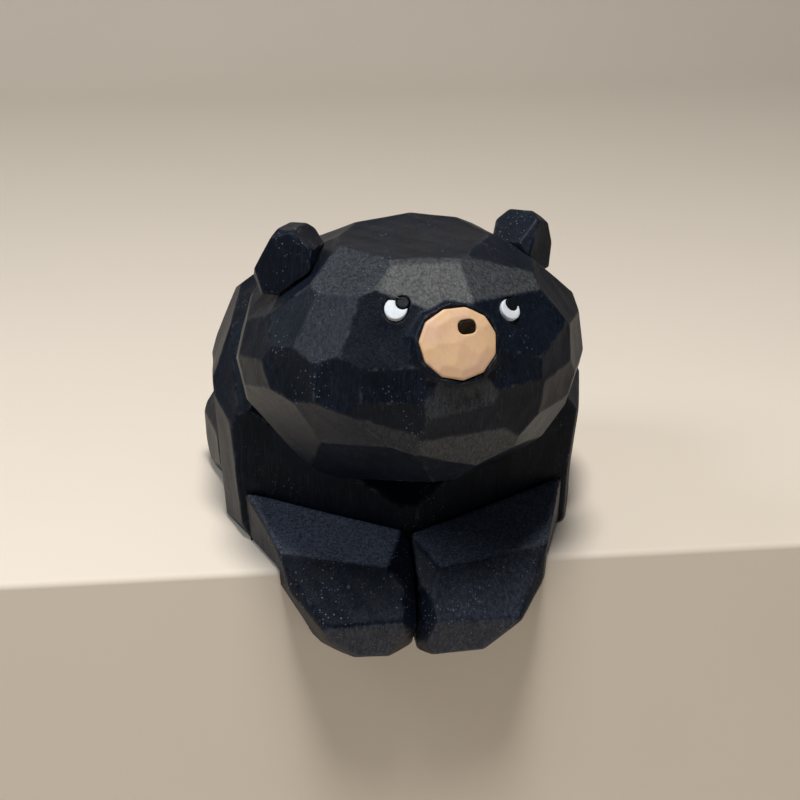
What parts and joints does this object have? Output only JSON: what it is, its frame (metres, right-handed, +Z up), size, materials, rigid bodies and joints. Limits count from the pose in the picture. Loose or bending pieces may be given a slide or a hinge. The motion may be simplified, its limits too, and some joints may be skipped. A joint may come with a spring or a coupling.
{
  "type": "carved wooden bear figurine",
  "caption": "Small faceted black wooden bear that lies on its belly on a shelf and hangs its forelegs over the edge; ornament only.",
  "frame": {"origin": "on the flat belly, midway between the two forelegs, at the height of the shelf's top", "axes": "+Z up, -Y the way the bear's body faces and over the shelf's edge, +X towards the bear's own left side"},
  "size_m": [0.069, 0.0908, 0.0728],
  "materials": {
    "black_paint": "thin matt black paint over knife-cut wood",
    "bare_wood": "unpainted dowel",
    "tan_wood": "smooth tan muzzle",
    "white_enamel": "satin white enamel",
    "black_enamel": "satin black enamel",
    "brown_enamel": "satin dark brown enamel"
  },
  "bodies": {
    "root": {"torso": "black_paint", "head": "black_paint", "ear_left": "black_paint", "ear_right": "black_paint", "muzzle": "tan_wood", "nose": "brown_enamel", "eye_left": "white_enamel", "eye_right": "white_enamel", "pupil_left": "black_enamel", "pupil_right": "black_enamel", "foreleg_left": "black_paint", "foreleg_right": "black_paint", "hind_leg_left": "black_paint", "hind_leg_right": "black_paint", "tail": "black_paint", "neck_dowel": "bare_wood", "foreleg_dowel_left": "bare_wood", "foreleg_dowel_right": "bare_wood", "hind_leg_dowel_left": "bare_wood", "hind_leg_dowel_right": "bare_wood"}
  },
  "joints": []
}
